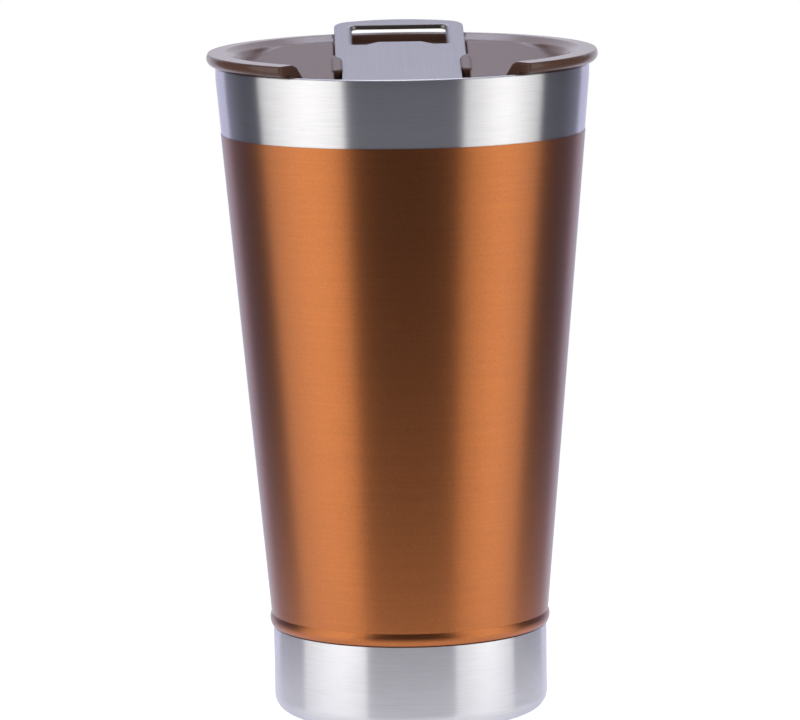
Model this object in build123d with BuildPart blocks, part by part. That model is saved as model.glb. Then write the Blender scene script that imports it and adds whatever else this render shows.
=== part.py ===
from build123d import *
import os
from math import cos, radians, sin, sqrt, tan

# Vacuum-insulated pint tumbler: a double-wall steel cup, a push-in plastic lid with a drinking notch,
# and a flat steel plate that slides in the lid, closes its sip hole and opens crown-capped bottles.
#
# Frame: millimetres, +Z up, origin at the centre of the foot. The drinking side faces -Y.

# ---- cup: outer wall -------------------------------------------------------------------------------
CUP_H = 156.0            # foot to lip
LIP_R = 44.5             # outside radius of the lip
LIP_BAND_H = 3.0         # straight band under the lip
LIP_ROUND = 0.5          # rounding of the polished lip
TAPER = 5.0              # half angle of the wall's cone, degrees
SHELL_T = 0.6            # sheet of the outer wall
BASE_BAND_H = 20.8       # straight bare band at the bottom
FOOT_CORNER_R = 4.0      # rounding between the base band and the foot
FOOT_FLAT_W = 1.9        # flat ring that the cup stands on
BEAD_H = 3.3             # rolled bead above the base band
BEAD_PROUD = 0.5         # how far the bead stands out of the cone
BARE_BAND_H = 16.1       # uncoated band under the lip
COAT_T = 0.15            # colour coat

# ---- cup: inner wall -------------------------------------------------------------------------------
LINER_T = 0.5            # sheet of the inner wall
LINER_LIP_ROUND = 0.4    # rounding of its edge at the lip
VACUUM_GAP = 2.3         # space between the two walls
WELD_H = 2.5             # band where the two walls meet and are welded
NECK_H = 18.0            # below the lip, where the inner wall's neck runs into its cone
NECK_BLEND_R = 30.0      # blend at the foot of the neck
FLOOR_Z = 11.0           # inside floor of the cup
FLOOR_CORNER_R = 10.0    # rounding between floor and wall
FOIL_T = 0.15            # radiation foil wound on the inner wall
FOIL_CLEAR = 0.15        # space between the foil and the wall
FOIL_MARGIN = 5.0        # bare stretch of the cone above and below the foil

# ---- cup: bottom -----------------------------------------------------------------------------------
BOTTOM_T = 0.6           # sheet of the outer bottom
BOTTOM_Z = 3.4           # underside of the outer bottom
BOTTOM_CORNER_R = 1.5    # rounding of its flange
PORT_R = 4.0             # evacuation dimple
PORT_DEPTH = 1.2
PORT_HOLE_R = 0.5
SEAL_R = 3.0             # bead that closes the evacuation hole
SEAL_PROUD = 0.5         # how far the bead bulges below the outer bottom
COVER_Z = 0.8            # underside of the base cover
COVER_T = 0.4
COVER_RIM_H = 1.0        # upturned rim that grips the foot ring
COVER_RING_R = 20.0      # stiffening step pressed into the cover
COVER_STEP = 0.4
FIT_GAP = 0.03           # between pressed parts
GETTER_R = 4.5           # getter pill
GETTER_T = 1.6
GETTER_AT = 14.0         # distance of the pill from the axis
GETTER_GAP = 0.05        # around the pill in its holder
HOLDER_T = 0.3           # strap over the pill
HOLDER_W = 4.0
HOLDER_FOOT = 3.0        # length of each welded foot

# ---- lid: rim, skirt and dish ----------------------------------------------------------------------
SEAT_GAP = 0.1           # between the lip and the lid's flange
LID_CLEAR = 0.45         # between the skirt and the inner wall
SKIRT_D = 14.0           # how deep the lid reaches below the lip
SKIRT_T = 2.2
FLANGE_PROUD = 2.1       # how far the flange's bulge stands out beyond the lip
FLANGE_BULGE_H = 2.07    # height of the widest point above the lip
FLANGE_UNDER_W = 0.4     # flat underside of the flange, beyond the lip
CROWN_INSET = 0.2        # ridge of the flange's section, inwards from the lip
CROWN_H = 3.9            # its height above the lip, before the top is trimmed flat
TOP_BACK_H = 3.7         # height of the flat top above the lip at the back
TOP_NOTCH_H = 2.75       # and at the notch
DISH_INSET = 4.5         # rim of the dish, inwards from the lip
DISH_EDGE_H = 2.3        # height of that rim above the lip
DISH_WALL_ANGLE = 40.0   # wall of the dish, from the vertical, degrees
DISH_WALL_T = 2.0
DECK_BLEND_R = 3.0       # between the dish's wall and the deck
RIM_CORE = 2.6           # solid plastic below lip level between the skirt and the dish wall
NOTCH_HALF_ANGLE = 38.4  # drinking notch, degrees each side of the front
NOTCH_DROP = 1.0         # floor of the notch, below the lip
NOTCH_EDGE_R = 0.6       # rounding of the flange's two ends beside the notch
GROOVE_D = 1.1           # gasket groove in the skirt
GROOVE_H = 6.0
GROOVE_TOP = 5.0         # top of the groove, below the lip
FIN_COUNT = 3            # sealing fins on the gasket
FIN_T = 0.35             # thickness of a fin at its tip
FIN_ROOT_T = 1.0         # and at its root
FIN_MARGIN = 0.4         # below the root, in each fin's share of the groove
FIN_RISE = 0.7           # how far a fin's tip stands above its root
FIN_CLEAR = 0.06         # between a fin and the inner wall

# ---- lid: sloping deck and the plate's channel -----------------------------------------------------
SLOPE = 11.0             # fall of the deck towards the drinking side, degrees
SHELF_Y = 27.0           # where the deck meets the level shelf at the back
DECK_T = 3.0
CHANNEL_FLOOR_GAP = 0.1  # under the plate
CHANNEL_SIDE_GAP = 0.4   # beside the head and the tongue
WAIST_GAP = 0.12         # beside the waist
KEEPER_W = 2.2           # raised keepers that hold the plate down
KEEPER_RISE = 0.4        # above the deck
KEEPER_LAP = 0.3         # over the plate
KEEPER_GAP = 0.12        # above the plate
KEEPER_ROUND = 1.4       # rounded corner of the channel at each keeper's front end
KEEPER_CORNER_R = 0.6    # other corners of the keepers
KEEPER_EDGE_R = 0.4      # rounding of the keepers' tops
POCKET_DEPTH = 2.2       # cap pocket under the opener's slot, below the lip
POCKET_BACK_INSET = 1.6  # its shallow part cuts into the flange up to here, inwards from the lip
POCKET_DEEP_INSET = 5.1  # and its deep part ends here
POCKET_STEP_H = 1.2      # floor of the shallow part, above the lip
POCKET_WALL_T = 1.6
SIP_L = 22.0             # sip hole, across the lid
SIP_W = 8.0              # and along the slope
SIP_MARGIN = 3.0         # plate beyond the hole's front edge when shut

# ---- opener plate, measured along its slope from the lid's axis ------------------------------------
PLATE_T = 1.2
PLATE_CROWN_GAP = 0.44   # between the plate and the flange's flat top, vertically
HEAD_W = 31.7
HEAD_END = 51.5          # far end of the head
END_ARC_R = 45.0
END_CORNER_R = 4.4
SHOULDER_TOP = 18.9      # where the head's sides end
SHOULDER_END = 15.9      # and where the waist begins
SHOULDER_R = 0.7         # rounded shoulders
WAIST_CORNER_R = 0.3     # inner corners beside the waist
WAIST_W = 28.7
TRAVEL = 12.0            # how far the plate slides back
STOP_GAP = 0.1           # between the shoulders and the lid's stops
KEEPER_FRONT = 4.0       # front end of the keepers
KEEPER_BACK = 13.8       # back end of their inner sides
KEEPER_BACK_RAKE = 3.2   # how much further back their outer sides end
TONGUE_W = 31.7
TONGUE_END = -26.5       # front end of the tongue
TONGUE_CORNER_R = 4.0
TONGUE_ARC_R = 60.0
SLOT_W = 25.0
SLOT_FAR = 46.25         # far edge of the slot
SLOT_NEAR = 28.9         # near edge beside the tooth
SLOT_CORNER_R = 1.75
TOOTH_RISE = 2.3         # how far the tooth reaches into the slot
TOOTH_TIP_W = 10.4
TOOTH_ROOT_W = 16.0
TOOTH_R = 0.9
PLATE_EDGE_R = 0.2       # broken edges of the plate

# ---- helping sizes ---------------------------------------------------------------------------------
TOOL_H = 12.0            # how far the cutting shapes run past the lid
NOTCH_REACH = 1.5        # length of the notch's cut, as a multiple of the flange's radius
TOUCH = 0.02             # distance at which a point counts as lying in a face

# ---- derived sizes ---------------------------------------------------------------------------------
TAN_TAPER = tan(radians(TAPER))
TAN_SLOPE = tan(radians(SLOPE))
COS_SLOPE = cos(radians(SLOPE))
SIN_SLOPE = sin(radians(SLOPE))
CONE_TOP_Z = CUP_H - LIP_BAND_H
COAT_TOP_Z = CUP_H - BARE_BAND_H
BEAD_TOP_Z = BASE_BAND_H + BEAD_H
BEAD_MID_Z = BASE_BAND_H + BEAD_H / 2
NECK_Z = CUP_H - NECK_H
RIM_IN_R = LIP_R - SHELL_T - LINER_T
FLANGE_R = LIP_R + FLANGE_PROUD
FLANGE_UNDER_R = LIP_R + FLANGE_UNDER_W
CROWN_R = LIP_R - CROWN_INSET
DISH_R = LIP_R - DISH_INSET
LID_BOTTOM_Z = CUP_H - SKIRT_D
DISH_EDGE_Z = CUP_H + DISH_EDGE_H
PLATE_Z0 = CUP_H + TOP_BACK_H + PLATE_CROWN_GAP - CROWN_R * TAN_SLOPE
DECK_Z0 = DISH_EDGE_Z - SHELF_Y * TAN_SLOPE
TONGUE_SHOULDER = KEEPER_FRONT - TRAVEL - STOP_GAP


def wall_r(z):
    """Outside radius of the steel wall's cone at height z."""
    return LIP_R - (CONE_TOP_Z - z) * TAN_TAPER


def liner_out_r(z):
    """Radius of the inner wall on its vacuum side, on the cone below the neck."""
    return wall_r(z) - SHELL_T - VACUUM_GAP


def liner_in_r(z):
    """Radius of the cup's inside at height z, from the floor to the lip."""
    if z >= CUP_H - WELD_H:
        return RIM_IN_R
    if z <= NECK_Z:
        return liner_out_r(z) - LINER_T
    foot_r = liner_out_r(NECK_Z) - LINER_T
    return foot_r + (RIM_IN_R - foot_r) * (z - NECK_Z) / (CUP_H - WELD_H - NECK_Z)


def skirt_r(z):
    """Outside radius of the lid's skirt at height z."""
    return liner_in_r(z) - LID_CLEAR


def dish_r(z):
    """Radius of the dish's conical wall at height z."""
    return DISH_R - (DISH_EDGE_Z - z) * tan(radians(DISH_WALL_ANGLE))


def arc_fall(x, radius):
    """How far an arc of this radius, with its top on the centre line, has fallen at x."""
    return radius - sqrt(radius**2 - x**2)


def slope_plane(z0):
    """Plane with the deck's slope through height z0 on the axis; its y runs up the slope."""
    return Plane(origin=(0, 0, z0), x_dir=(1, 0, 0), z_dir=(0, -SIN_SLOPE, COS_SLOPE))


PLATE_PLANE = slope_plane(PLATE_Z0)                  # the plate's underside
DECK_PLANE = slope_plane(DECK_Z0)                    # the deck's top
BASE_R = wall_r(BASE_BAND_H)
FOOT_IN_R = BASE_R - FOOT_CORNER_R - FOOT_FLAT_W     # where the outer wall ends under the cup
BEAD_R = wall_r(BEAD_MID_Z) + BEAD_PROUD
DECK_OVER_PLATE = (DECK_Z0 - PLATE_Z0) * COS_SLOPE   # the deck's top above the plate's underside
BORE_IN_R = FOOT_IN_R - BOTTOM_T                     # inside of the outer bottom's flange
BOTTOM_TOP_Z = BOTTOM_Z + BOTTOM_T
GROOVE_TOP_Z = CUP_H - GROOVE_TOP
GROOVE_BOTTOM_Z = GROOVE_TOP_Z - GROOVE_H
SIP_CENTRE = TONGUE_END + SIP_MARGIN + SIP_W / 2
NOTCH_Y = CROWN_R * cos(radians(NOTCH_HALF_ANGLE))   # how far forward the flange's two ends lie
TOP_TILT = (TOP_BACK_H - TOP_NOTCH_H) / (CROWN_R + NOTCH_Y)
TOP_PLANE = Plane(
    origin=(0, CROWN_R, CUP_H + TOP_BACK_H), x_dir=(1, 0, 0), z_dir=(0, -TOP_TILT, 1)
)                                                    # flat top of the flange

os.makedirs("parts", exist_ok=True)


def on_notch_end(edge):
    """Whether an edge lies in one of the notch's two upright ends, above the lip."""
    half_angle = radians(NOTCH_HALF_ANGLE)
    points = (edge @ 0, edge @ 0.5, edge @ 1)
    in_plane = all(abs(abs(p.X) * cos(half_angle) + p.Y * sin(half_angle)) < TOUCH for p in points)
    return in_plane and max(p.Z for p in points) > CUP_H + FLANGE_UNDER_W


def save(piece, label):
    """Label a finished piece and write it as its own STEP file."""
    piece.part.label = label
    export_step(piece.part, f"parts/{label}.step")


def corner(sketch, x, y):
    """The sketch's corner at a point of its profile."""
    return sketch.vertices().sort_by_distance((x, y, 0))[0]


# ---- outer wall ------------------------------------------------------------------------------------
with BuildPart() as outer_shell:
    with BuildSketch(Plane.XZ):
        with BuildLine():
            Line((FOOT_IN_R, 0), (BASE_R - FOOT_CORNER_R, 0))
            RadiusArc((BASE_R - FOOT_CORNER_R, 0), (BASE_R, FOOT_CORNER_R), -FOOT_CORNER_R)
            Line((BASE_R, FOOT_CORNER_R), (BASE_R, BASE_BAND_H))
            ThreePointArc((BASE_R, BASE_BAND_H), (BEAD_R, BEAD_MID_Z), (wall_r(BEAD_TOP_Z), BEAD_TOP_Z))
            Line((wall_r(BEAD_TOP_Z), BEAD_TOP_Z), (LIP_R, CONE_TOP_Z))
            Line((LIP_R, CONE_TOP_Z), (LIP_R, CUP_H - LIP_ROUND))
            RadiusArc((LIP_R, CUP_H - LIP_ROUND), (LIP_R - LIP_ROUND, CUP_H), -LIP_ROUND)
            Polyline(
                (LIP_R - LIP_ROUND, CUP_H),
                (LIP_R - SHELL_T, CUP_H),
                (LIP_R - SHELL_T, CONE_TOP_Z),
                (wall_r(BEAD_TOP_Z) - SHELL_T, BEAD_TOP_Z),
            )
            ThreePointArc(
                (wall_r(BEAD_TOP_Z) - SHELL_T, BEAD_TOP_Z),
                (BEAD_R - SHELL_T, BEAD_MID_Z),
                (BASE_R - SHELL_T, BASE_BAND_H),
            )
            Line((BASE_R - SHELL_T, BASE_BAND_H), (BASE_R - SHELL_T, FOOT_CORNER_R))
            RadiusArc(
                (BASE_R - SHELL_T, FOOT_CORNER_R),
                (BASE_R - FOOT_CORNER_R, SHELL_T),
                FOOT_CORNER_R - SHELL_T,
            )
            Polyline((BASE_R - FOOT_CORNER_R, SHELL_T), (FOOT_IN_R, SHELL_T), (FOOT_IN_R, 0))
        make_face()
    revolve(axis=Axis.Z)
save(outer_shell, "outer_shell")

# ---- colour coat between the two bare bands --------------------------------------------------------
with BuildPart() as colour_coat:
    with BuildSketch(Plane.XZ):
        with BuildLine():
            ThreePointArc((BASE_R, BASE_BAND_H), (BEAD_R, BEAD_MID_Z), (wall_r(BEAD_TOP_Z), BEAD_TOP_Z))
            Polyline(
                (wall_r(BEAD_TOP_Z), BEAD_TOP_Z),
                (wall_r(COAT_TOP_Z), COAT_TOP_Z),
                (wall_r(COAT_TOP_Z) + COAT_T, COAT_TOP_Z),
                (wall_r(BEAD_TOP_Z) + COAT_T, BEAD_TOP_Z),
            )
            ThreePointArc(
                (wall_r(BEAD_TOP_Z) + COAT_T, BEAD_TOP_Z),
                (BEAD_R + COAT_T, BEAD_MID_Z),
                (BASE_R + COAT_T, BASE_BAND_H),
            )
            Line((BASE_R + COAT_T, BASE_BAND_H), (BASE_R, BASE_BAND_H))
        make_face()
    revolve(axis=Axis.Z)
save(colour_coat, "colour_coat")

# ---- inner wall: floor, cone, neck and the welded rim ----------------------------------------------
with BuildPart() as inner_liner:
    with BuildSketch(Plane.XZ) as liner_section:
        floor_out_z = FLOOR_Z - LINER_T
        with BuildLine():
            Polyline(
                (0, floor_out_z),
                (liner_out_r(floor_out_z), floor_out_z),
                (liner_out_r(NECK_Z), NECK_Z),
                (LIP_R - SHELL_T, CUP_H - WELD_H),
                (LIP_R - SHELL_T, CUP_H),
                (RIM_IN_R, CUP_H),
                (RIM_IN_R, CUP_H - WELD_H),
                (liner_in_r(NECK_Z), NECK_Z),
                (liner_in_r(FLOOR_Z), FLOOR_Z),
                (0, FLOOR_Z),
                close=True,
            )
        make_face()
        fillet(corner(liner_section, liner_out_r(floor_out_z), floor_out_z), FLOOR_CORNER_R + LINER_T)
        fillet(corner(liner_section, liner_in_r(FLOOR_Z), FLOOR_Z), FLOOR_CORNER_R)
        fillet(corner(liner_section, liner_out_r(NECK_Z), NECK_Z), NECK_BLEND_R)
        fillet(corner(liner_section, liner_in_r(NECK_Z), NECK_Z), NECK_BLEND_R)
        fillet(corner(liner_section, RIM_IN_R, CUP_H), LINER_LIP_ROUND)
    revolve(axis=Axis.Z)
save(inner_liner, "inner_liner")

# ---- radiation foil on the inner wall --------------------------------------------------------------
FOIL_BOTTOM_Z = FLOOR_Z + FLOOR_CORNER_R + FOIL_MARGIN
FOIL_TOP_Z = NECK_Z - FOIL_MARGIN
with BuildPart() as radiation_foil:
    with BuildSketch(Plane.XZ):
        with BuildLine():
            foil_in_bottom = liner_out_r(FOIL_BOTTOM_Z) + FOIL_CLEAR
            foil_in_top = liner_out_r(FOIL_TOP_Z) + FOIL_CLEAR
            Polyline(
                (foil_in_bottom, FOIL_BOTTOM_Z),
                (foil_in_bottom + FOIL_T, FOIL_BOTTOM_Z),
                (foil_in_top + FOIL_T, FOIL_TOP_Z),
                (foil_in_top, FOIL_TOP_Z),
                close=True,
            )
        make_face()
    revolve(axis=Axis.Z)
save(radiation_foil, "radiation_foil")

# ---- outer bottom with its flange and evacuation dimple --------------------------------------------
with BuildPart() as outer_bottom:
    with BuildSketch(Plane.XZ) as bottom_section:
        with BuildLine():
            Polyline(
                (FOOT_IN_R, 0),
                (FOOT_IN_R, BOTTOM_TOP_Z),
                (PORT_R + BOTTOM_T, BOTTOM_TOP_Z),
                (PORT_R + BOTTOM_T, BOTTOM_TOP_Z + PORT_DEPTH),
                (PORT_HOLE_R, BOTTOM_TOP_Z + PORT_DEPTH),
                (PORT_HOLE_R, BOTTOM_Z + PORT_DEPTH),
                (PORT_R, BOTTOM_Z + PORT_DEPTH),
                (PORT_R, BOTTOM_Z),
                (BORE_IN_R, BOTTOM_Z),
                (BORE_IN_R, 0),
                close=True,
            )
        make_face()
        fillet(corner(bottom_section, FOOT_IN_R, BOTTOM_TOP_Z), BOTTOM_CORNER_R + BOTTOM_T)
        fillet(corner(bottom_section, BORE_IN_R, BOTTOM_Z), BOTTOM_CORNER_R)
    revolve(axis=Axis.Z)
save(outer_bottom, "outer_bottom")

# ---- bead that closes the evacuation hole ----------------------------------------------------------
with BuildPart() as vacuum_seal:
    with BuildSketch(Plane.XZ):
        with BuildLine():
            Polyline(
                (0, BOTTOM_Z - SEAL_PROUD),
                (0, BOTTOM_Z + PORT_DEPTH),
                (SEAL_R, BOTTOM_Z + PORT_DEPTH),
                (SEAL_R, BOTTOM_Z),
            )
            dome_r = (SEAL_R**2 + SEAL_PROUD**2) / (2 * SEAL_PROUD)
            ThreePointArc(
                (SEAL_R, BOTTOM_Z),
                (SEAL_R / 2, BOTTOM_Z - SEAL_PROUD + arc_fall(SEAL_R / 2, dome_r)),
                (0, BOTTOM_Z - SEAL_PROUD),
            )
        make_face()
    revolve(axis=Axis.Z)
save(vacuum_seal, "vacuum_seal")

# ---- pressed cover inside the foot ring ------------------------------------------------------------
with BuildPart() as base_cover:
    with BuildSketch(Plane.XZ):
        with BuildLine():
            cover_r = BORE_IN_R - FIT_GAP
            Polyline(
                (0, COVER_Z + COVER_STEP),
                (COVER_RING_R, COVER_Z + COVER_STEP),
                (COVER_RING_R + COVER_STEP, COVER_Z),
                (cover_r, COVER_Z),
                (cover_r, COVER_Z + COVER_RIM_H),
                (cover_r - COVER_T, COVER_Z + COVER_RIM_H),
                (cover_r - COVER_T, COVER_Z + COVER_T),
                (COVER_RING_R + COVER_STEP, COVER_Z + COVER_T),
                (COVER_RING_R, COVER_Z + COVER_STEP + COVER_T),
                (0, COVER_Z + COVER_STEP + COVER_T),
                close=True,
            )
        make_face()
    revolve(axis=Axis.Z)
save(base_cover, "base_cover")

# ---- getter pill and the strap that holds it on the outer bottom -----------------------------------
with BuildPart() as getter_pill:
    with BuildSketch(Plane.XY.offset(BOTTOM_TOP_Z)):
        with Locations((GETTER_AT, 0)):
            Circle(GETTER_R)
    extrude(amount=GETTER_T)
save(getter_pill, "getter_pill")

with BuildPart() as getter_holder:
    with BuildSketch(Plane.XZ):
        with BuildLine():
            strap_in = GETTER_R + GETTER_GAP
            strap_out = strap_in + HOLDER_T
            under_z = BOTTOM_TOP_Z + GETTER_T + GETTER_GAP
            Polyline(
                (GETTER_AT - strap_out - HOLDER_FOOT, BOTTOM_TOP_Z),
                (GETTER_AT - strap_in, BOTTOM_TOP_Z),
                (GETTER_AT - strap_in, under_z),
                (GETTER_AT + strap_in, under_z),
                (GETTER_AT + strap_in, BOTTOM_TOP_Z),
                (GETTER_AT + strap_out + HOLDER_FOOT, BOTTOM_TOP_Z),
                (GETTER_AT + strap_out + HOLDER_FOOT, BOTTOM_TOP_Z + HOLDER_T),
                (GETTER_AT + strap_out, BOTTOM_TOP_Z + HOLDER_T),
                (GETTER_AT + strap_out, under_z + HOLDER_T),
                (GETTER_AT - strap_out, under_z + HOLDER_T),
                (GETTER_AT - strap_out, BOTTOM_TOP_Z + HOLDER_T),
                (GETTER_AT - strap_out - HOLDER_FOOT, BOTTOM_TOP_Z + HOLDER_T),
                close=True,
            )
        make_face()
    extrude(amount=HOLDER_W / 2, both=True)
save(getter_holder, "getter_holder")

# ---- tools that shape the lid ----------------------------------------------------------------------

with BuildPart() as dish_hollow:
    # the cone of the dish's wall, kept above the sloping deck
    with BuildSketch(Plane.XZ):
        with BuildLine():
            Polyline(
                (0, LID_BOTTOM_Z),
                (dish_r(LID_BOTTOM_Z), LID_BOTTOM_Z),
                (DISH_R, DISH_EDGE_Z),
                (0, DISH_EDGE_Z),
                close=True,
            )
        make_face()
    revolve(axis=Axis.Z)
    split(bisect_by=DECK_PLANE, keep=Keep.TOP)
    fillet(dish_hollow.edges().filter_by(GeomType.ELLIPSE), DECK_BLEND_R)

with BuildPart() as dish_body:
    # the plastic around the dish: its wall and the sloping deck
    wall_span = DISH_WALL_T / cos(radians(DISH_WALL_ANGLE))
    with BuildSketch(Plane.XZ):
        with BuildLine():
            Polyline(
                (0, LID_BOTTOM_Z - SKIRT_D),
                (dish_r(LID_BOTTOM_Z - SKIRT_D) + wall_span, LID_BOTTOM_Z - SKIRT_D),
                (DISH_R + wall_span, DISH_EDGE_Z),
                (0, DISH_EDGE_Z),
                close=True,
            )
        make_face()
    revolve(axis=Axis.Z)
    split(bisect_by=DECK_PLANE.offset(-DECK_T), keep=Keep.TOP)

with BuildPart() as cap_pocket:
    # room under the slot for the edge of a bottle cap, with a shallow part that cuts into the flange
    pocket_near = SLOT_NEAR * COS_SLOPE
    with BuildSketch(Plane.XY.offset(CUP_H - POCKET_DEPTH)):
        with Locations((0, pocket_near)):
            Rectangle(SLOT_W, CROWN_R - pocket_near, align=(Align.CENTER, Align.MIN))
        Circle(LIP_R - POCKET_DEEP_INSET, mode=Mode.INTERSECT)
    extrude(amount=POCKET_DEPTH + TOOL_H)
    with BuildSketch(Plane.XY.offset(CUP_H + POCKET_STEP_H)):
        with Locations((0, pocket_near)):
            Rectangle(SLOT_W, CROWN_R - pocket_near, align=(Align.CENTER, Align.MIN))
        Circle(LIP_R - POCKET_BACK_INSET, mode=Mode.INTERSECT)
    extrude(amount=TOOL_H)
    fillet(cap_pocket.edges().filter_by(Axis.Z), SLOT_CORNER_R)

with BuildPart() as pocket_housing:
    # walls and floor around that pocket, under the deck
    with BuildSketch(Plane.XY.offset(CUP_H - POCKET_DEPTH - POCKET_WALL_T)):
        with Locations((0, pocket_near - POCKET_WALL_T)):
            Rectangle(
                SLOT_W + 2 * POCKET_WALL_T,
                CROWN_R - pocket_near,
                align=(Align.CENTER, Align.MIN),
            )
    extrude(amount=POCKET_DEPTH + POCKET_WALL_T)

with BuildPart() as under_hollow:
    # open underside between the skirt, the dish and the pocket
    with BuildSketch(Plane.XZ):
        with BuildLine():
            ceiling_z = CUP_H - RIM_CORE
            Polyline(
                (0, LID_BOTTOM_Z),
                (skirt_r(LID_BOTTOM_Z) - SKIRT_T, LID_BOTTOM_Z),
                (skirt_r(ceiling_z) - SKIRT_T, ceiling_z),
                (0, ceiling_z),
                close=True,
            )
        make_face()
    revolve(axis=Axis.Z)
    add(dish_body.part, mode=Mode.SUBTRACT)
    add(pocket_housing.part, mode=Mode.SUBTRACT)

with BuildPart() as plate_channel:
    # bed of the plate: a wide stretch for the tongue, a narrow one for the waist, a wide one for the head
    half_wide = TONGUE_W / 2 + CHANNEL_SIDE_GAP
    half_head = HEAD_W / 2 + CHANNEL_SIDE_GAP
    half_waist = WAIST_W / 2 + WAIST_GAP
    front = TONGUE_END - STOP_GAP - CHANNEL_SIDE_GAP
    with BuildSketch(PLATE_PLANE.offset(-CHANNEL_FLOOR_GAP)) as channel_plan:
        with BuildLine():
            Polyline(
                (0, front),
                (half_wide, front),
                (half_wide, KEEPER_FRONT),
                (half_waist, KEEPER_FRONT),
                (half_waist, SHOULDER_END - STOP_GAP),
                (half_head, SHOULDER_TOP - STOP_GAP),
                (half_head, HEAD_END),
                (0, HEAD_END),
                close=True,
            )
        make_face()
        fillet(corner(channel_plan, half_wide, front), TONGUE_CORNER_R)
        fillet(corner(channel_plan, half_wide, KEEPER_FRONT), SHOULDER_R - CHANNEL_SIDE_GAP)
        fillet(corner(channel_plan, half_waist, KEEPER_FRONT), KEEPER_ROUND)
        mirror(about=Plane.YZ)
    extrude(amount=TOOL_H)

with BuildPart() as keepers:
    # raised pads beside the waist, lapping over the plate
    keeper_low = PLATE_T + KEEPER_GAP
    keeper_high = DECK_OVER_PLATE + KEEPER_RISE
    keeper_in = half_waist - KEEPER_LAP
    keeper_out = half_waist + KEEPER_W
    with BuildSketch(PLATE_PLANE.offset(keeper_low)) as keeper_plan:
        with BuildLine():
            Polyline(
                (keeper_in, KEEPER_FRONT),
                (keeper_out, KEEPER_FRONT),
                (keeper_out, KEEPER_BACK + KEEPER_BACK_RAKE),
                (keeper_in, KEEPER_BACK),
                close=True,
            )
        make_face()
        fillet(corner(keeper_plan, keeper_in, KEEPER_FRONT), KEEPER_ROUND + KEEPER_LAP)
        fillet(corner(keeper_plan, keeper_out, KEEPER_FRONT), KEEPER_CORNER_R)
        fillet(corner(keeper_plan, keeper_out, KEEPER_BACK + KEEPER_BACK_RAKE), KEEPER_CORNER_R)
        fillet(corner(keeper_plan, keeper_in, KEEPER_BACK), KEEPER_CORNER_R)
        mirror(about=Plane.YZ)
    extrude(amount=keeper_high - keeper_low)
    upwards = Axis(PLATE_PLANE.origin, PLATE_PLANE.z_dir)
    fillet(keepers.faces().filter_by(PLATE_PLANE).group_by(upwards)[-1].edges(), KEEPER_EDGE_R)

with BuildPart() as drinking_notch:
    with BuildSketch(Plane.XY.offset(CUP_H - NOTCH_DROP)):
        with BuildLine():
            reach = NOTCH_REACH * FLANGE_R
            side = reach * sin(radians(NOTCH_HALF_ANGLE))
            forward = reach * cos(radians(NOTCH_HALF_ANGLE))
            Polyline((0, 0), (side, -forward), (-side, -forward), close=True)
        make_face()
    extrude(amount=TOOL_H)

# ---- lid body --------------------------------------------------------------------------------------
with BuildPart() as lid_body:
    with BuildSketch(Plane.XZ) as lid_section:
        with BuildLine():
            Polyline(
                (0, DISH_EDGE_Z),
                (0, LID_BOTTOM_Z),
                (skirt_r(LID_BOTTOM_Z), LID_BOTTOM_Z),
                (skirt_r(CUP_H - WELD_H), CUP_H - WELD_H),
                (skirt_r(CUP_H), CUP_H + SEAT_GAP),
                (FLANGE_UNDER_R, CUP_H + SEAT_GAP),
            )
            ThreePointArc(
                (FLANGE_UNDER_R, CUP_H + SEAT_GAP),
                (FLANGE_R, CUP_H + FLANGE_BULGE_H),
                (CROWN_R, CUP_H + CROWN_H),
            )
            Polyline((CROWN_R, CUP_H + CROWN_H), (DISH_R, DISH_EDGE_Z), (0, DISH_EDGE_Z))
        make_face()
    revolve(axis=Axis.Z)
    add(dish_hollow.part, mode=Mode.SUBTRACT)
    add(drinking_notch.part, mode=Mode.SUBTRACT)
    fillet([edge for edge in lid_body.edges() if on_notch_end(edge)], NOTCH_EDGE_R)
    split(bisect_by=TOP_PLANE, keep=Keep.BOTTOM)
    add(under_hollow.part, mode=Mode.SUBTRACT)
    add(plate_channel.part, mode=Mode.SUBTRACT)
    add(cap_pocket.part, mode=Mode.SUBTRACT)
    # sip hole through the floor of the channel, under the tongue
    with BuildSketch(PLATE_PLANE.offset(-CHANNEL_FLOOR_GAP)):
        with Locations((0, SIP_CENTRE)):
            SlotOverall(SIP_L, SIP_W)
    extrude(amount=-TOOL_H, mode=Mode.SUBTRACT)
    # gasket groove round the skirt
    with BuildSketch(Plane.XZ):
        with BuildLine():
            Polyline(
                (skirt_r(GROOVE_BOTTOM_Z) - GROOVE_D, GROOVE_BOTTOM_Z),
                (RIM_IN_R + LID_CLEAR, GROOVE_BOTTOM_Z),
                (RIM_IN_R + LID_CLEAR, GROOVE_TOP_Z),
                (skirt_r(GROOVE_TOP_Z) - GROOVE_D, GROOVE_TOP_Z),
                close=True,
            )
        make_face()
    revolve(axis=Axis.Z, mode=Mode.SUBTRACT)
    add(keepers.part)
save(lid_body, "lid_body")

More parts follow.
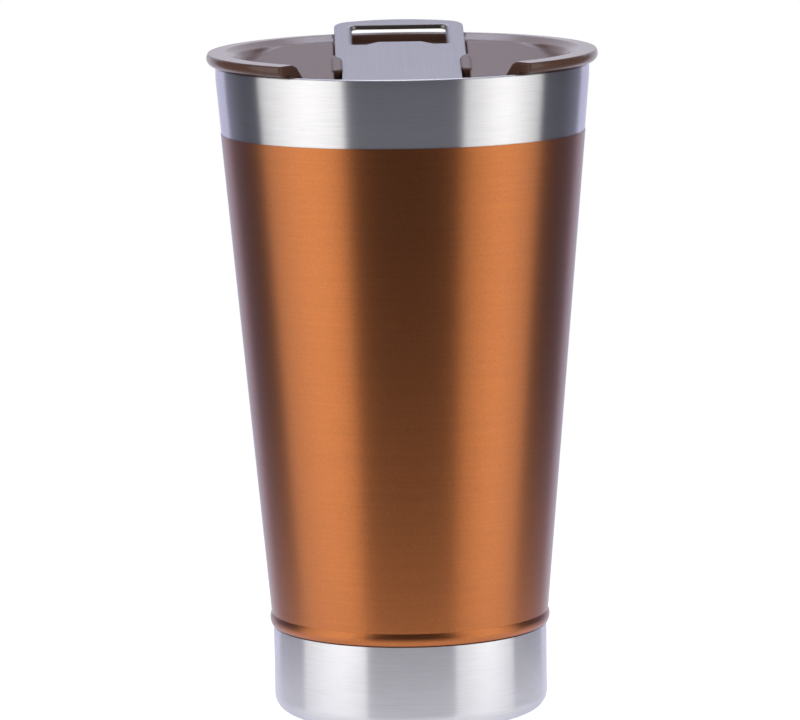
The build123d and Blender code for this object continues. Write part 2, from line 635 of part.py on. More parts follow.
# ---- gasket with its sealing fins ------------------------------------------------------------------
with BuildPart() as lid_gasket:
    with BuildSketch(Plane.XZ):
        with BuildLine():
            fin_pitch = GROOVE_H / FIN_COUNT
            profile = [(skirt_r(GROOVE_BOTTOM_Z) - GROOVE_D, GROOVE_BOTTOM_Z)]
            profile.append((skirt_r(GROOVE_BOTTOM_Z), GROOVE_BOTTOM_Z))
            for i in range(FIN_COUNT):
                root_z = GROOVE_BOTTOM_Z + i * fin_pitch + FIN_MARGIN
                tip_z = root_z + FIN_RISE
                top_z = root_z + FIN_ROOT_T
                profile.append((skirt_r(root_z), root_z))
                profile.append((liner_in_r(tip_z) - FIN_CLEAR, tip_z))
                profile.append((liner_in_r(tip_z) - FIN_CLEAR, tip_z + FIN_T))
                profile.append((skirt_r(top_z), top_z))
            profile.append((skirt_r(GROOVE_TOP_Z), GROOVE_TOP_Z))
            profile.append((skirt_r(GROOVE_TOP_Z) - GROOVE_D, GROOVE_TOP_Z))
            Polyline(*profile, close=True)
        make_face()
    revolve(axis=Axis.Z)
save(lid_gasket, "lid_gasket")

# ---- opener plate ----------------------------------------------------------------------------------
with BuildPart() as opener_plate:
    head_x = HEAD_W / 2
    waist_x = WAIST_W / 2
    tongue_x = TONGUE_W / 2
    head_corner = HEAD_END - arc_fall(head_x, END_ARC_R)
    tongue_corner = TONGUE_END + arc_fall(tongue_x, TONGUE_ARC_R)
    with BuildSketch(PLATE_PLANE) as plate_plan:
        with BuildLine():
            ThreePointArc(
                (0, TONGUE_END),
                (tongue_x / 2, TONGUE_END + arc_fall(tongue_x / 2, TONGUE_ARC_R)),
                (tongue_x, tongue_corner),
            )
            Polyline(
                (tongue_x, tongue_corner),
                (tongue_x, TONGUE_SHOULDER),
                (waist_x, TONGUE_SHOULDER),
                (waist_x, SHOULDER_END),
                (head_x, SHOULDER_TOP),
                (head_x, head_corner),
            )
            ThreePointArc(
                (head_x, head_corner),
                (head_x / 2, HEAD_END - arc_fall(head_x / 2, END_ARC_R)),
                (0, HEAD_END),
            )
            Line((0, HEAD_END), (0, TONGUE_END))
        make_face()
        fillet(corner(plate_plan, tongue_x, tongue_corner), TONGUE_CORNER_R)
        fillet(corner(plate_plan, head_x, head_corner), END_CORNER_R)
        fillet(corner(plate_plan, tongue_x, TONGUE_SHOULDER), SHOULDER_R)
        fillet(corner(plate_plan, head_x, SHOULDER_TOP), SHOULDER_R)
        fillet(corner(plate_plan, waist_x, TONGUE_SHOULDER), WAIST_CORNER_R)
        fillet(corner(plate_plan, waist_x, SHOULDER_END), WAIST_CORNER_R)
        mirror(about=Plane.YZ)
    extrude(amount=PLATE_T)
    with BuildSketch(PLATE_PLANE) as slot_plan:
        with BuildLine():
            Polyline(
                (-SLOT_W / 2, SLOT_NEAR),
                (-TOOTH_ROOT_W / 2, SLOT_NEAR),
                (-TOOTH_TIP_W / 2, SLOT_NEAR + TOOTH_RISE),
                (TOOTH_TIP_W / 2, SLOT_NEAR + TOOTH_RISE),
                (TOOTH_ROOT_W / 2, SLOT_NEAR),
                (SLOT_W / 2, SLOT_NEAR),
                (SLOT_W / 2, SLOT_FAR),
                (-SLOT_W / 2, SLOT_FAR),
                close=True,
            )
        make_face()
        for side in (-1, 1):
            fillet(corner(slot_plan, side * SLOT_W / 2, SLOT_NEAR), SLOT_CORNER_R)
            fillet(corner(slot_plan, side * SLOT_W / 2, SLOT_FAR), SLOT_CORNER_R)
            fillet(corner(slot_plan, side * TOOTH_ROOT_W / 2, SLOT_NEAR), TOOTH_R)
            fillet(corner(slot_plan, side * TOOTH_TIP_W / 2, SLOT_NEAR + TOOTH_RISE), TOOTH_R)
    extrude(amount=PLATE_T, mode=Mode.SUBTRACT)
    flat_faces = opener_plate.faces().filter_by(PLATE_PLANE)
    fillet(flat_faces.edges(), PLATE_EDGE_R)
save(opener_plate, "opener_plate")
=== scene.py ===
"""Looks of a vacuum-insulated pint tumbler: its finishes, its studio and its camera.

Lengths in the dataclasses are millimetres unless a name says otherwise; meshes are in metres.
"""

import logging
import math
from dataclasses import dataclass
from enum import Enum

import bmesh
import bpy
import numpy as np
from mathutils import Matrix, Vector


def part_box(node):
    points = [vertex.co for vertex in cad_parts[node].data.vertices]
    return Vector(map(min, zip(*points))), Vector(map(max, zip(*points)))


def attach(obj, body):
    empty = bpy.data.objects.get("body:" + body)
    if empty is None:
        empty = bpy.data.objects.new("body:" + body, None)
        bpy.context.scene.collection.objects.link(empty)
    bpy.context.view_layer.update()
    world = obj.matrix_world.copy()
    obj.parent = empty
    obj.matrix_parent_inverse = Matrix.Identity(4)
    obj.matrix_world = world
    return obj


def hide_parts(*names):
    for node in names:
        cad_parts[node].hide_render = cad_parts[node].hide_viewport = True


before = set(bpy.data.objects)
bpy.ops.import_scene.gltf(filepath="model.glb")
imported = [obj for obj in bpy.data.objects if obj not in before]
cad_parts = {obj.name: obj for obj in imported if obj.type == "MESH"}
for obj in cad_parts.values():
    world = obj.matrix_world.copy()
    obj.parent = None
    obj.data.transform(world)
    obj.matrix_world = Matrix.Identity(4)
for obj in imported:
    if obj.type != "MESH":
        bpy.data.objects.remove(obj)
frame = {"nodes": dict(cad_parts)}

log = logging.getLogger("tumbler")
MM = 0.001
MERGE_DISTANCE = 0.001 * MM
SEAM_ANGLE = 6.0  # degrees; the facets of the lathed walls are 4.8 degrees wide
WHITE = (1.0, 1.0, 1.0, 1.0)
BUMP_DISTANCE = 0.1 * MM  # the height that a bump's strength is a share of
NOISE_LOW, NOISE_HIGH = 0.3, 0.7  # nearly all of a noise lies between these
# octaves of each noise, for ever finer scratches, clouds and grit
SCRATCH_DETAIL, CLOUD_DETAIL, GRIT_DETAIL, FLAKE_DETAIL = 3.0, 2.0, 2.0, 1.0
MIX_FACTOR, MIX_A, MIX_B, MIX_RESULT = 0, 6, 7, 2  # a Mix node's sockets for colours


# ---- colours and nodes ---------------------------------------------------------------------------
def linear(code: str) -> tuple[float, float, float, float]:
    """Turn an sRGB hex colour into linear RGBA.

    Args:
        code: Six hex digits, with or without a leading #.

    Returns:
        The linear colour with an alpha of 1.
    """
    digits = code.lstrip("#")
    srgb = np.array([int(digits[i : i + 2], 16) for i in (0, 2, 4)]) / 255.0
    flat = np.where(srgb <= 0.04045, srgb / 12.92, ((srgb + 0.055) / 1.055) ** 2.4)
    return (float(flat[0]), float(flat[1]), float(flat[2]), 1.0)


def add_node(
    tree: bpy.types.NodeTree,
    kind: str,
    settings: dict[str, object] | None = None,
    inputs: dict[str | int, object] | None = None,
) -> bpy.types.Node:
    """Add one node with its settings and links.

    Args:
        tree: The node tree that gets the node.
        kind: The node's type, such as "ShaderNodeBump".
        settings: Attributes set on the node itself.
        inputs: Socket name or number, with a value or an output socket to link.

    Returns:
        The new node.
    """
    made = tree.nodes.new(kind)
    for name, value in (settings or {}).items():
        setattr(made, name, value)
    for key, value in (inputs or {}).items():
        if isinstance(value, bpy.types.NodeSocket):
            tree.links.new(value, made.inputs[key])
        else:
            made.inputs[key].default_value = value
    return made


def new_material(name: str) -> tuple[bpy.types.Material, bpy.types.NodeTree]:
    """Make an empty node material.

    Args:
        name: What the real material is.

    Returns:
        The material and its node tree.
    """
    material = bpy.data.materials.new(name)
    material.use_nodes = True
    material.node_tree.nodes.clear()
    return material, material.node_tree


def varied_colour(
    tree: bpy.types.NodeTree, code: str, contrast: float, pattern: bpy.types.NodeSocket
) -> tuple[bpy.types.NodeSocket, bpy.types.NodeSocket]:
    """Let a noise darken and lighten a colour.

    Args:
        tree: The material's node tree.
        code: The middle colour, as an sRGB hex value.
        contrast: How far the colour goes to either side, as a share of it.
        pattern: The noise.

    Returns:
        The sockets of the colour and of the noise spread over 0 to 1.
    """
    middle = linear(code)[:3]
    low = tuple(part * (1 - contrast) for part in middle) + (1.0,)
    high = tuple(min(part * (1 + contrast), 1.0) for part in middle) + (1.0,)
    span = add_node(
        tree,
        "ShaderNodeMapRange",
        inputs={"Value": pattern, "From Min": NOISE_LOW, "From Max": NOISE_HIGH},
    )
    colour = add_node(
        tree,
        "ShaderNodeMix",
        settings={"data_type": "RGBA"},
        inputs={MIX_FACTOR: span.outputs[0], MIX_A: low, MIX_B: high},
    )
    return colour.outputs[MIX_RESULT], span.outputs[0]


# ---- finishes ------------------------------------------------------------------------------------
class Grain(Enum):
    """Which way a brushed metal's scratches run."""

    AROUND = "round the cup's axis"
    ALONG = "along the opener's length"


@dataclass(frozen=True)
class BrushedSteel:
    """Brushed 18/8 stainless steel.

    The belt's scratches spread a reflection across them and leave it crisp along them, so a
    softbox becomes a bright stripe with a clean side edge and no top or bottom.
    """

    name: str
    colour: str = "#CCCCD6"
    roughness: float = 0.285
    anisotropy: float = 1.0
    grain: Grain = Grain.AROUND
    scratch_width: float = 0.22  # the real ones are under 0.05 mm; this is as fine as shows
    scratch_length: float = 9.0
    scratch_harshness: float = 0.65  # how much the finer scratches among them count
    scratch_contrast: float = 0.07
    scratch_spread: float = 0.04  # how much a scratch's depth changes the roughness
    cloud_size: float = 9.0  # patches where the belt pressed harder
    cloud_share: float = 0.2
    bump: float = 0.022
    edge_tint: str = "#E0E0EA"  # steel reflects a little less at a low angle

    def make(self) -> bpy.types.Material:
        """Build the material.

        Returns:
            The material.
        """
        material, tree = new_material(self.name)
        place = add_node(tree, "ShaderNodeTexCoord")
        fine, coarse = 1 / (self.scratch_width * MM), 1 / (self.scratch_length * MM)
        scale = (coarse, coarse, fine) if self.grain is Grain.AROUND else (fine, coarse, coarse)
        stretched = add_node(
            tree, "ShaderNodeMapping", inputs={"Vector": place.outputs["Object"], "Scale": scale}
        )
        scratches = add_node(
            tree,
            "ShaderNodeTexNoise",
            inputs={
                "Vector": stretched.outputs[0],
                "Scale": 1.0,
                "Detail": SCRATCH_DETAIL,
                "Roughness": self.scratch_harshness,
            },
        )
        clouds = add_node(
            tree,
            "ShaderNodeTexNoise",
            inputs={
                "Vector": place.outputs["Object"],
                "Scale": 1 / (self.cloud_size * MM),
                "Detail": CLOUD_DETAIL,
            },
        )
        both = add_node(
            tree,
            "ShaderNodeMix",
            inputs={
                "Factor": self.cloud_share,
                "A": scratches.outputs["Fac"],
                "B": clouds.outputs["Fac"],
            },
        )
        colour, depth = varied_colour(tree, self.colour, self.scratch_contrast, both.outputs[0])
        rough = add_node(
            tree,
            "ShaderNodeMapRange",
            inputs={
                "Value": depth,
                "To Min": self.roughness * (1 + self.scratch_spread),
                "To Max": self.roughness * (1 - self.scratch_spread),
            },
        )
        bump = add_node(
            tree,
            "ShaderNodeBump",
            inputs={
                "Strength": self.bump,
                "Distance": BUMP_DISTANCE,
                "Height": scratches.outputs["Fac"],
            },
        )
        # a reflection spreads along the tangent turned by the rotation, across the scratches
        if self.grain is Grain.AROUND:
            rotation = 0.25
            tangent = add_node(
                tree, "ShaderNodeTangent", settings={"direction_type": "RADIAL", "axis": "Z"}
            )
        else:
            rotation = 0.0
            tangent = add_node(
                tree,
                "ShaderNodeVectorTransform",
                settings={"convert_from": "OBJECT", "convert_to": "WORLD"},
                inputs={"Vector": (1.0, 0.0, 0.0)},
            )
        surface = add_node(
            tree,
            "ShaderNodeBsdfPrincipled",
            inputs={
                "Base Color": colour,
                "Metallic": 1.0,
                "Roughness": rough.outputs[0],
                "Anisotropic": self.anisotropy,
                "Anisotropic Rotation": rotation,
                "Specular Tint": linear(self.edge_tint),
                "Tangent": tangent.outputs[0],
                "Normal": bump.outputs[0],
            },
        )
        add_node(tree, "ShaderNodeOutputMaterial", inputs={"Surface": surface.outputs[0]})
        return material


@dataclass(frozen=True)
class MetallicLacquer:
    """Satin metallic lacquer, baked on brushed steel.

    Leafing flakes give the colour and a soft reflection. The clear binder over them turns pale
    where the surface is seen at a low angle, and the belt's scratches below just show. Along its
    lower rim, painted shade darkens the colour and the gloss, for the shadow in the crease where
    the lacquer meets the steel band.
    """

    name: str
    colour: str
    roughness: float = 0.275
    edge_tint: str = "#9E9298"  # flakes lie flat, so few of them face a low angle
    flake_size: float = 0.35  # real flakes are 0.03 mm; drawn as large as needed to show
    flake_contrast: float = 0.10
    scratch_width: float = 0.5
    scratch_length: float = 25.0
    scratch_contrast: float = 0.05
    clear_roughness: float = 0.29
    clear_ior: float = 1.47
    haze_weight: float = 0.34  # the binder's fine texture, a pale veil at a low angle
    haze_roughness: float = 0.40
    haze_tint: str = "#CCD0FF"
    painted_shade_height: float = 0.5  # height of the painted shade line along the lacquer's lower rim
    painted_shade_level: float = 0.12  # what the painted shade leaves of the colour and the gloss there

    def make(self, lowest: float) -> bpy.types.Material:
        """Build the material.

        Args:
            lowest: Height of the lacquer's lower rim, in metres.

        Returns:
            The material.
        """
        material, tree = new_material(self.name)
        place = add_node(tree, "ShaderNodeTexCoord")
        height = add_node(
            tree, "ShaderNodeSeparateXYZ", inputs={"Vector": place.outputs["Object"]}
        )
        # painted shade: colour and coat gloss darken towards the lacquer's lower rim, for the
        # shadow in the crease above the steel band
        rim = add_node(
            tree,
            "ShaderNodeMapRange",
            settings={"interpolation_type": "SMOOTHSTEP"},
            inputs={
                "Value": height.outputs["Z"],
                "From Min": lowest + self.painted_shade_height * MM / 2,
                "From Max": lowest + self.painted_shade_height * MM,
                "To Min": self.painted_shade_level,
                "To Max": 1.0,
            },
        )
        flakes = add_node(
            tree,
            "ShaderNodeTexNoise",
            inputs={
                "Vector": place.outputs["Object"],
                "Scale": 1 / (self.flake_size * MM),
                "Detail": FLAKE_DETAIL,
            },
        )
        fine, coarse = 1 / (self.scratch_width * MM), 1 / (self.scratch_length * MM)
        stretched = add_node(
            tree,
            "ShaderNodeMapping",
            inputs={"Vector": place.outputs["Object"], "Scale": (coarse, coarse, fine)},
        )
        scratches = add_node(
            tree,
            "ShaderNodeTexNoise",
            inputs={"Vector": stretched.outputs[0], "Scale": 1.0, "Detail": SCRATCH_DETAIL},
        )
        share = self.scratch_contrast / (self.scratch_contrast + self.flake_contrast)
        both = add_node(
            tree,
            "ShaderNodeMix",
            inputs={"Factor": share, "A": flakes.outputs["Fac"], "B": scratches.outputs["Fac"]},
        )
        contrast = self.flake_contrast + self.scratch_contrast
        colour, _ = varied_colour(tree, self.colour, contrast, both.outputs[0])
        shaded = add_node(
            tree,
            "ShaderNodeVectorMath",
            settings={"operation": "SCALE"},
            inputs={0: colour, "Scale": rim.outputs[0]},
        )
        surface = add_node(
            tree,
            "ShaderNodeBsdfPrincipled",
            inputs={
                "Base Color": shaded.outputs[0],
                "Metallic": 1.0,
                "Roughness": self.roughness,
                "Specular Tint": linear(self.edge_tint),
                "Coat Weight": rim.outputs[0],
                "Coat Roughness": self.clear_roughness,
                "Coat IOR": self.clear_ior,
                "Sheen Weight": self.haze_weight,
                "Sheen Roughness": self.haze_roughness,
                "Sheen Tint": linear(self.haze_tint),
            },
        )
        add_node(tree, "ShaderNodeOutputMaterial", inputs={"Surface": surface.outputs[0]})
        return material


@dataclass(frozen=True)
class MouldedSolid:
    """Moulded polypropylene or silicone, or fused glass or pressed powder, with a fine texture.

    The texture breaks a reflection up into a soft sheen, strongest at a low angle.
    """

    name: str
    colour: str
    roughness: float = 0.34
    grit: float = 0.25  # the mould's is 0.05 mm; this is as fine as shows
    bump: float = 0.03
    cloud_size: float = 14.0
    cloud_contrast: float = 0.06
    sheen_tint: str = "#FFFFFF"
    specular: float = 0.50
    edge_radius: float = 0.0  # rounding of the moulded edges
    edge_samples: int = 6
    rim_radius: float = 1000.0  # past this distance from the axis the mould was polished
    rim_fade: float = 0.6
    rim_roughness: float = 0.16

    def roughness_at(
        self, tree: bpy.types.NodeTree, place: bpy.types.Node
    ) -> bpy.types.NodeSocket:
        """Give the roughness of the textured middle and of the polished rim.

        The distance from the axis is the length of the place times (1, 1, 0).

        Args:
            tree: The material's node tree.
            place: Its Texture Coordinate node.

        Returns:
            The socket that holds the roughness.
        """
        flat = add_node(
            tree,
            "ShaderNodeVectorMath",
            settings={"operation": "MULTIPLY"},
            inputs={0: place.outputs["Object"], 1: (1.0, 1.0, 0.0)},
        )
        radius = add_node(
            tree,
            "ShaderNodeVectorMath",
            settings={"operation": "LENGTH"},
            inputs={0: flat.outputs[0]},
        )
        rough = add_node(
            tree,
            "ShaderNodeMapRange",
            settings={"interpolation_type": "SMOOTHSTEP"},
            inputs={
                "Value": radius.outputs["Value"],
                "From Min": (self.rim_radius - self.rim_fade) * MM,
                "From Max": (self.rim_radius + self.rim_fade) * MM,
                "To Min": self.roughness,
                "To Max": self.rim_roughness,
            },
        )
        return rough.outputs[0]

    def make(self) -> bpy.types.Material:
        """Build the material.

        Returns:
            The material.
        """
        material, tree = new_material(self.name)
        place = add_node(tree, "ShaderNodeTexCoord")
        texture = add_node(
            tree,
            "ShaderNodeTexNoise",
            inputs={
                "Vector": place.outputs["Object"],
                "Scale": 1 / (self.grit * MM),
                "Detail": GRIT_DETAIL,
            },
        )
        clouds = add_node(
            tree,
            "ShaderNodeTexNoise",
            inputs={
                "Vector": place.outputs["Object"],
                "Scale": 1 / (self.cloud_size * MM),
                "Detail": CLOUD_DETAIL,
            },
        )
        middle = linear(self.colour)[:3]
        low = tuple(part * (1 - self.cloud_contrast) for part in middle) + (1.0,)
        high = tuple(part * (1 + self.cloud_contrast) for part in middle) + (1.0,)
        colour = add_node(
            tree,
            "ShaderNodeMix",
            settings={"data_type": "RGBA"},
            inputs={MIX_FACTOR: clouds.outputs["Fac"], MIX_A: low, MIX_B: high},
        )
        bump = add_node(
            tree,
            "ShaderNodeBump",
            inputs={
                "Strength": self.bump,
                "Distance": BUMP_DISTANCE,
                "Height": texture.outputs["Fac"],
            },
        )
        if self.edge_radius:
            edges = add_node(
                tree,
                "ShaderNodeBevel",
                settings={"samples": self.edge_samples},
                inputs={"Radius": self.edge_radius * MM},
            )
            tree.links.new(edges.outputs[0], bump.inputs["Normal"])
        surface = add_node(
            tree,
            "ShaderNodeBsdfPrincipled",
            inputs={
                "Base Color": colour.outputs[MIX_RESULT],
                "Roughness": self.roughness_at(tree, place),
                "Specular IOR Level": self.specular,
                "Specular Tint": linear(self.sheen_tint),
                "Normal": bump.outputs[0],
            },
        )
        add_node(tree, "ShaderNodeOutputMaterial", inputs={"Surface": surface.outputs[0]})
        return material


# ---- meshes --------------------------------------------------------------------------------------
def read(
    items: bpy.types.bpy_prop_collection, name: str, width: int = 3, kind: type = float
) -> np.ndarray:
    """Read one property of all vertices, edges, corners or faces of a mesh.

    Args:
        items: The mesh's collection of them.
        name: The property's name.
        width: How many numbers it holds.
        kind: The numbers' type.

    Returns:
        Array with one row for each item.
    """
    values = np.empty(len(items) * width, kind)
    items.foreach_get(name, values)
    return values.reshape(-1, width)


def grid_mesh(name: str, points: np.ndarray, closed: bool) -> bpy.types.Object:
    """Make a mesh object from a grid of points.

    Args:
        name: The object's name.
        points: Array of rows, columns and xyz, in metres.
        closed: Whether the last column joins the first.

    Returns:
        The object, linked to the scene, with smooth faces.
    """
    rows, columns = points.shape[:2]
    index = np.arange(rows * columns).reshape(rows, columns)
    right = np.roll(index, -1, axis=1) if closed else index[:, 1:]
    left = index if closed else index[:, :-1]
    faces = np.stack([left[:-1], right[:-1], right[1:], left[1:]], axis=-1).reshape(-1, 4)
    mesh = bpy.data.meshes.new(name)
    mesh.from_pydata(points.reshape(-1, 3).tolist(), [], faces.tolist())
    mesh.polygons.foreach_set("use_smooth", np.ones(len(mesh.polygons), bool))
    made = bpy.data.objects.new(name, mesh)
    bpy.context.scene.collection.objects.link(made)
    return made


def healed_normals(points: np.ndarray, faces: np.ndarray, normals: np.ndarray) -> np.ndarray:
    """Take the step at a seam out of the normals.

    A corner's normal becomes the mean of all normals at its vertex that differ from it by less
    than SEAM_ANGLE, each weighted by its face's area.

    Args:
        points: The vertices, one row each.
        faces: The triangles' vertex numbers, one row each.
        normals: The corners' normals, one row each, in the order of the faces.

    Returns:
        The new normals, in the same order. One whose faces have no area is zero, which leaves
        it to the mesh.
    """
    ends = points[faces]
    area = np.linalg.norm(np.cross(ends[:, 1] - ends[:, 0], ends[:, 2] - ends[:, 0]), axis=1)
    weighted = normals * np.repeat(area, 3)[:, None]

    # every pair of corners at one vertex, as two arrays of corner numbers
    order = np.argsort(faces.ravel(), kind="stable")
    _, starts, counts = np.unique(faces.ravel()[order], return_index=True, return_counts=True)
    start, count = np.repeat(starts, counts), np.repeat(counts, counts)
    one = np.repeat(np.arange(len(order)), count)
    other = np.arange(len(one)) - np.repeat(np.cumsum(count) - count, count) + start[one]
    one, other = order[one], order[other]

    likeness = (normals[one] * normals[other]).sum(axis=1)
    near = likeness > math.cos(math.radians(SEAM_ANGLE))
    total = np.zeros_like(normals)
    np.add.at(total, one[near], weighted[other[near]])
    length = np.linalg.norm(total, axis=1, keepdims=True)
    return total / np.maximum(length, np.finfo(float).tiny)


def seamless_copy(node: bpy.types.Object, name: str) -> bpy.types.Object:
    """Make a closed copy of a lathed solid, without the step in its shading at the lathe's seam.

    Vertices at one place become one vertex, and triangles without an area are left out.

    Args:
        node: The CAD node's object, a mesh of triangles.
        name: The copy's name.

    Returns:
        The copy, linked to the scene.
    """
    points = read(node.data.vertices, "co")
    corners = read(node.data.loops, "vertex_index", 1, int)
    normals = read(node.data.corner_normals, "vector").reshape(-1, 3, 3)
    grid = np.round(points / MERGE_DISTANCE)
    _, first, place = np.unique(grid, axis=0, return_index=True, return_inverse=True)
    points = points[first]
    faces = place.ravel()[corners].reshape(-1, 3)
    whole = (faces != np.roll(faces, 1, axis=1)).all(axis=1)
    faces, normals = faces[whole], normals[whole].reshape(-1, 3)

    mesh = bpy.data.meshes.new(name)
    mesh.from_pydata(points.tolist(), [], faces.tolist())
    mesh.polygons.foreach_set("use_smooth", np.ones(len(mesh.polygons), bool))
    mesh.normals_split_custom_set(healed_normals(points, faces, normals).tolist())
    made = bpy.data.objects.new(name, mesh)
    bpy.context.scene.collection.objects.link(made)
    return made


# ---- sub-assemblies ------------------------------------------------------------------------------
@dataclass
class Cup:
    """The double-wall cup with its coat, its liner and what is under its foot."""

    band_steel: BrushedSteel = BrushedSteel("brushed_stainless_steel")
    liner_steel: BrushedSteel = BrushedSteel(
        "satin_stainless_liner", colour="#BEBEC0", roughness=0.42, anisotropy=0.6
    )
    coat: MetallicLacquer = MetallicLacquer("copper_metallic_lacquer", "#A35819")
    foil: BrushedSteel = BrushedSteel(
        "rolled_copper_foil", colour="#D99073", roughness=0.25, anisotropy=0.3
    )
    solder: MouldedSolid = MouldedSolid("glass_solder", "#A9B0A4", roughness=0.12)
    getter: MouldedSolid = MouldedSolid("sintered_getter_metal", "#4E4E50", roughness=0.8)

    def dress(self, nodes: dict[str, bpy.types.Object]) -> dict[str, bpy.types.Material]:
        """Give each solid of the cup its finish, and let seamless copies stand for the walls.

        Args:
            nodes: The CAD nodes' objects by name.

        Returns:
            The material of each shown piece by name.
        """
        steel, liner = self.band_steel.make(), self.liner_steel.make()
        lacquer = self.coat.make(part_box("colour_coat")[0][2])
        worn = {
            "outer_bottom": steel,
            "base_cover": steel,
            "getter_holder": liner,
            "radiation_foil": self.foil.make(),
            "vacuum_seal": self.solder.make(),
            "getter_pill": self.getter.make(),
        }
        for name, material in worn.items():
            nodes[name].data.materials.clear()
            nodes[name].data.materials.append(material)

        shell = seamless_copy(nodes["outer_shell"], "seamless_outer_shell")
        shell.data.materials.append(steel)
        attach(shell, "cup")
        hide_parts("outer_shell")

        coat = seamless_copy(nodes["colour_coat"], "seamless_colour_coat")
        coat.data.materials.append(lacquer)
        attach(coat, "cup")
        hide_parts("colour_coat")

        wall = seamless_copy(nodes["inner_liner"], "seamless_inner_liner")
        wall.data.materials.append(liner)
        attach(wall, "cup")
        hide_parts("inner_liner")
        return worn | {shell.name: steel, coat.name: lacquer, wall.name: liner}


@dataclass
class Lid:
    """The push-in lid and its gasket."""

    plastic: MouldedSolid = MouldedSolid(
        "brown_polypropylene",
        "#573C33",
        roughness=0.40,
        sheen_tint="#F4F0FF",
        specular=0.38,
        rim_radius=39.0,
        rim_roughness=0.17,
        edge_radius=0.9,
    )
    silicone: MouldedSolid = MouldedSolid("brown_silicone", "#6B5A52", roughness=0.55)

    def dress(self, nodes: dict[str, bpy.types.Object]) -> dict[str, bpy.types.Material]:
        """Give the lid's solids their finishes.

        Args:
            nodes: The CAD nodes' objects by name.

        Returns:
            The material of each shown piece by name.
        """
        worn = {"lid_body": self.plastic.make(), "lid_gasket": self.silicone.make()}
        for name, material in worn.items():
            nodes[name].data.materials.clear()
            nodes[name].data.materials.append(material)
        return worn


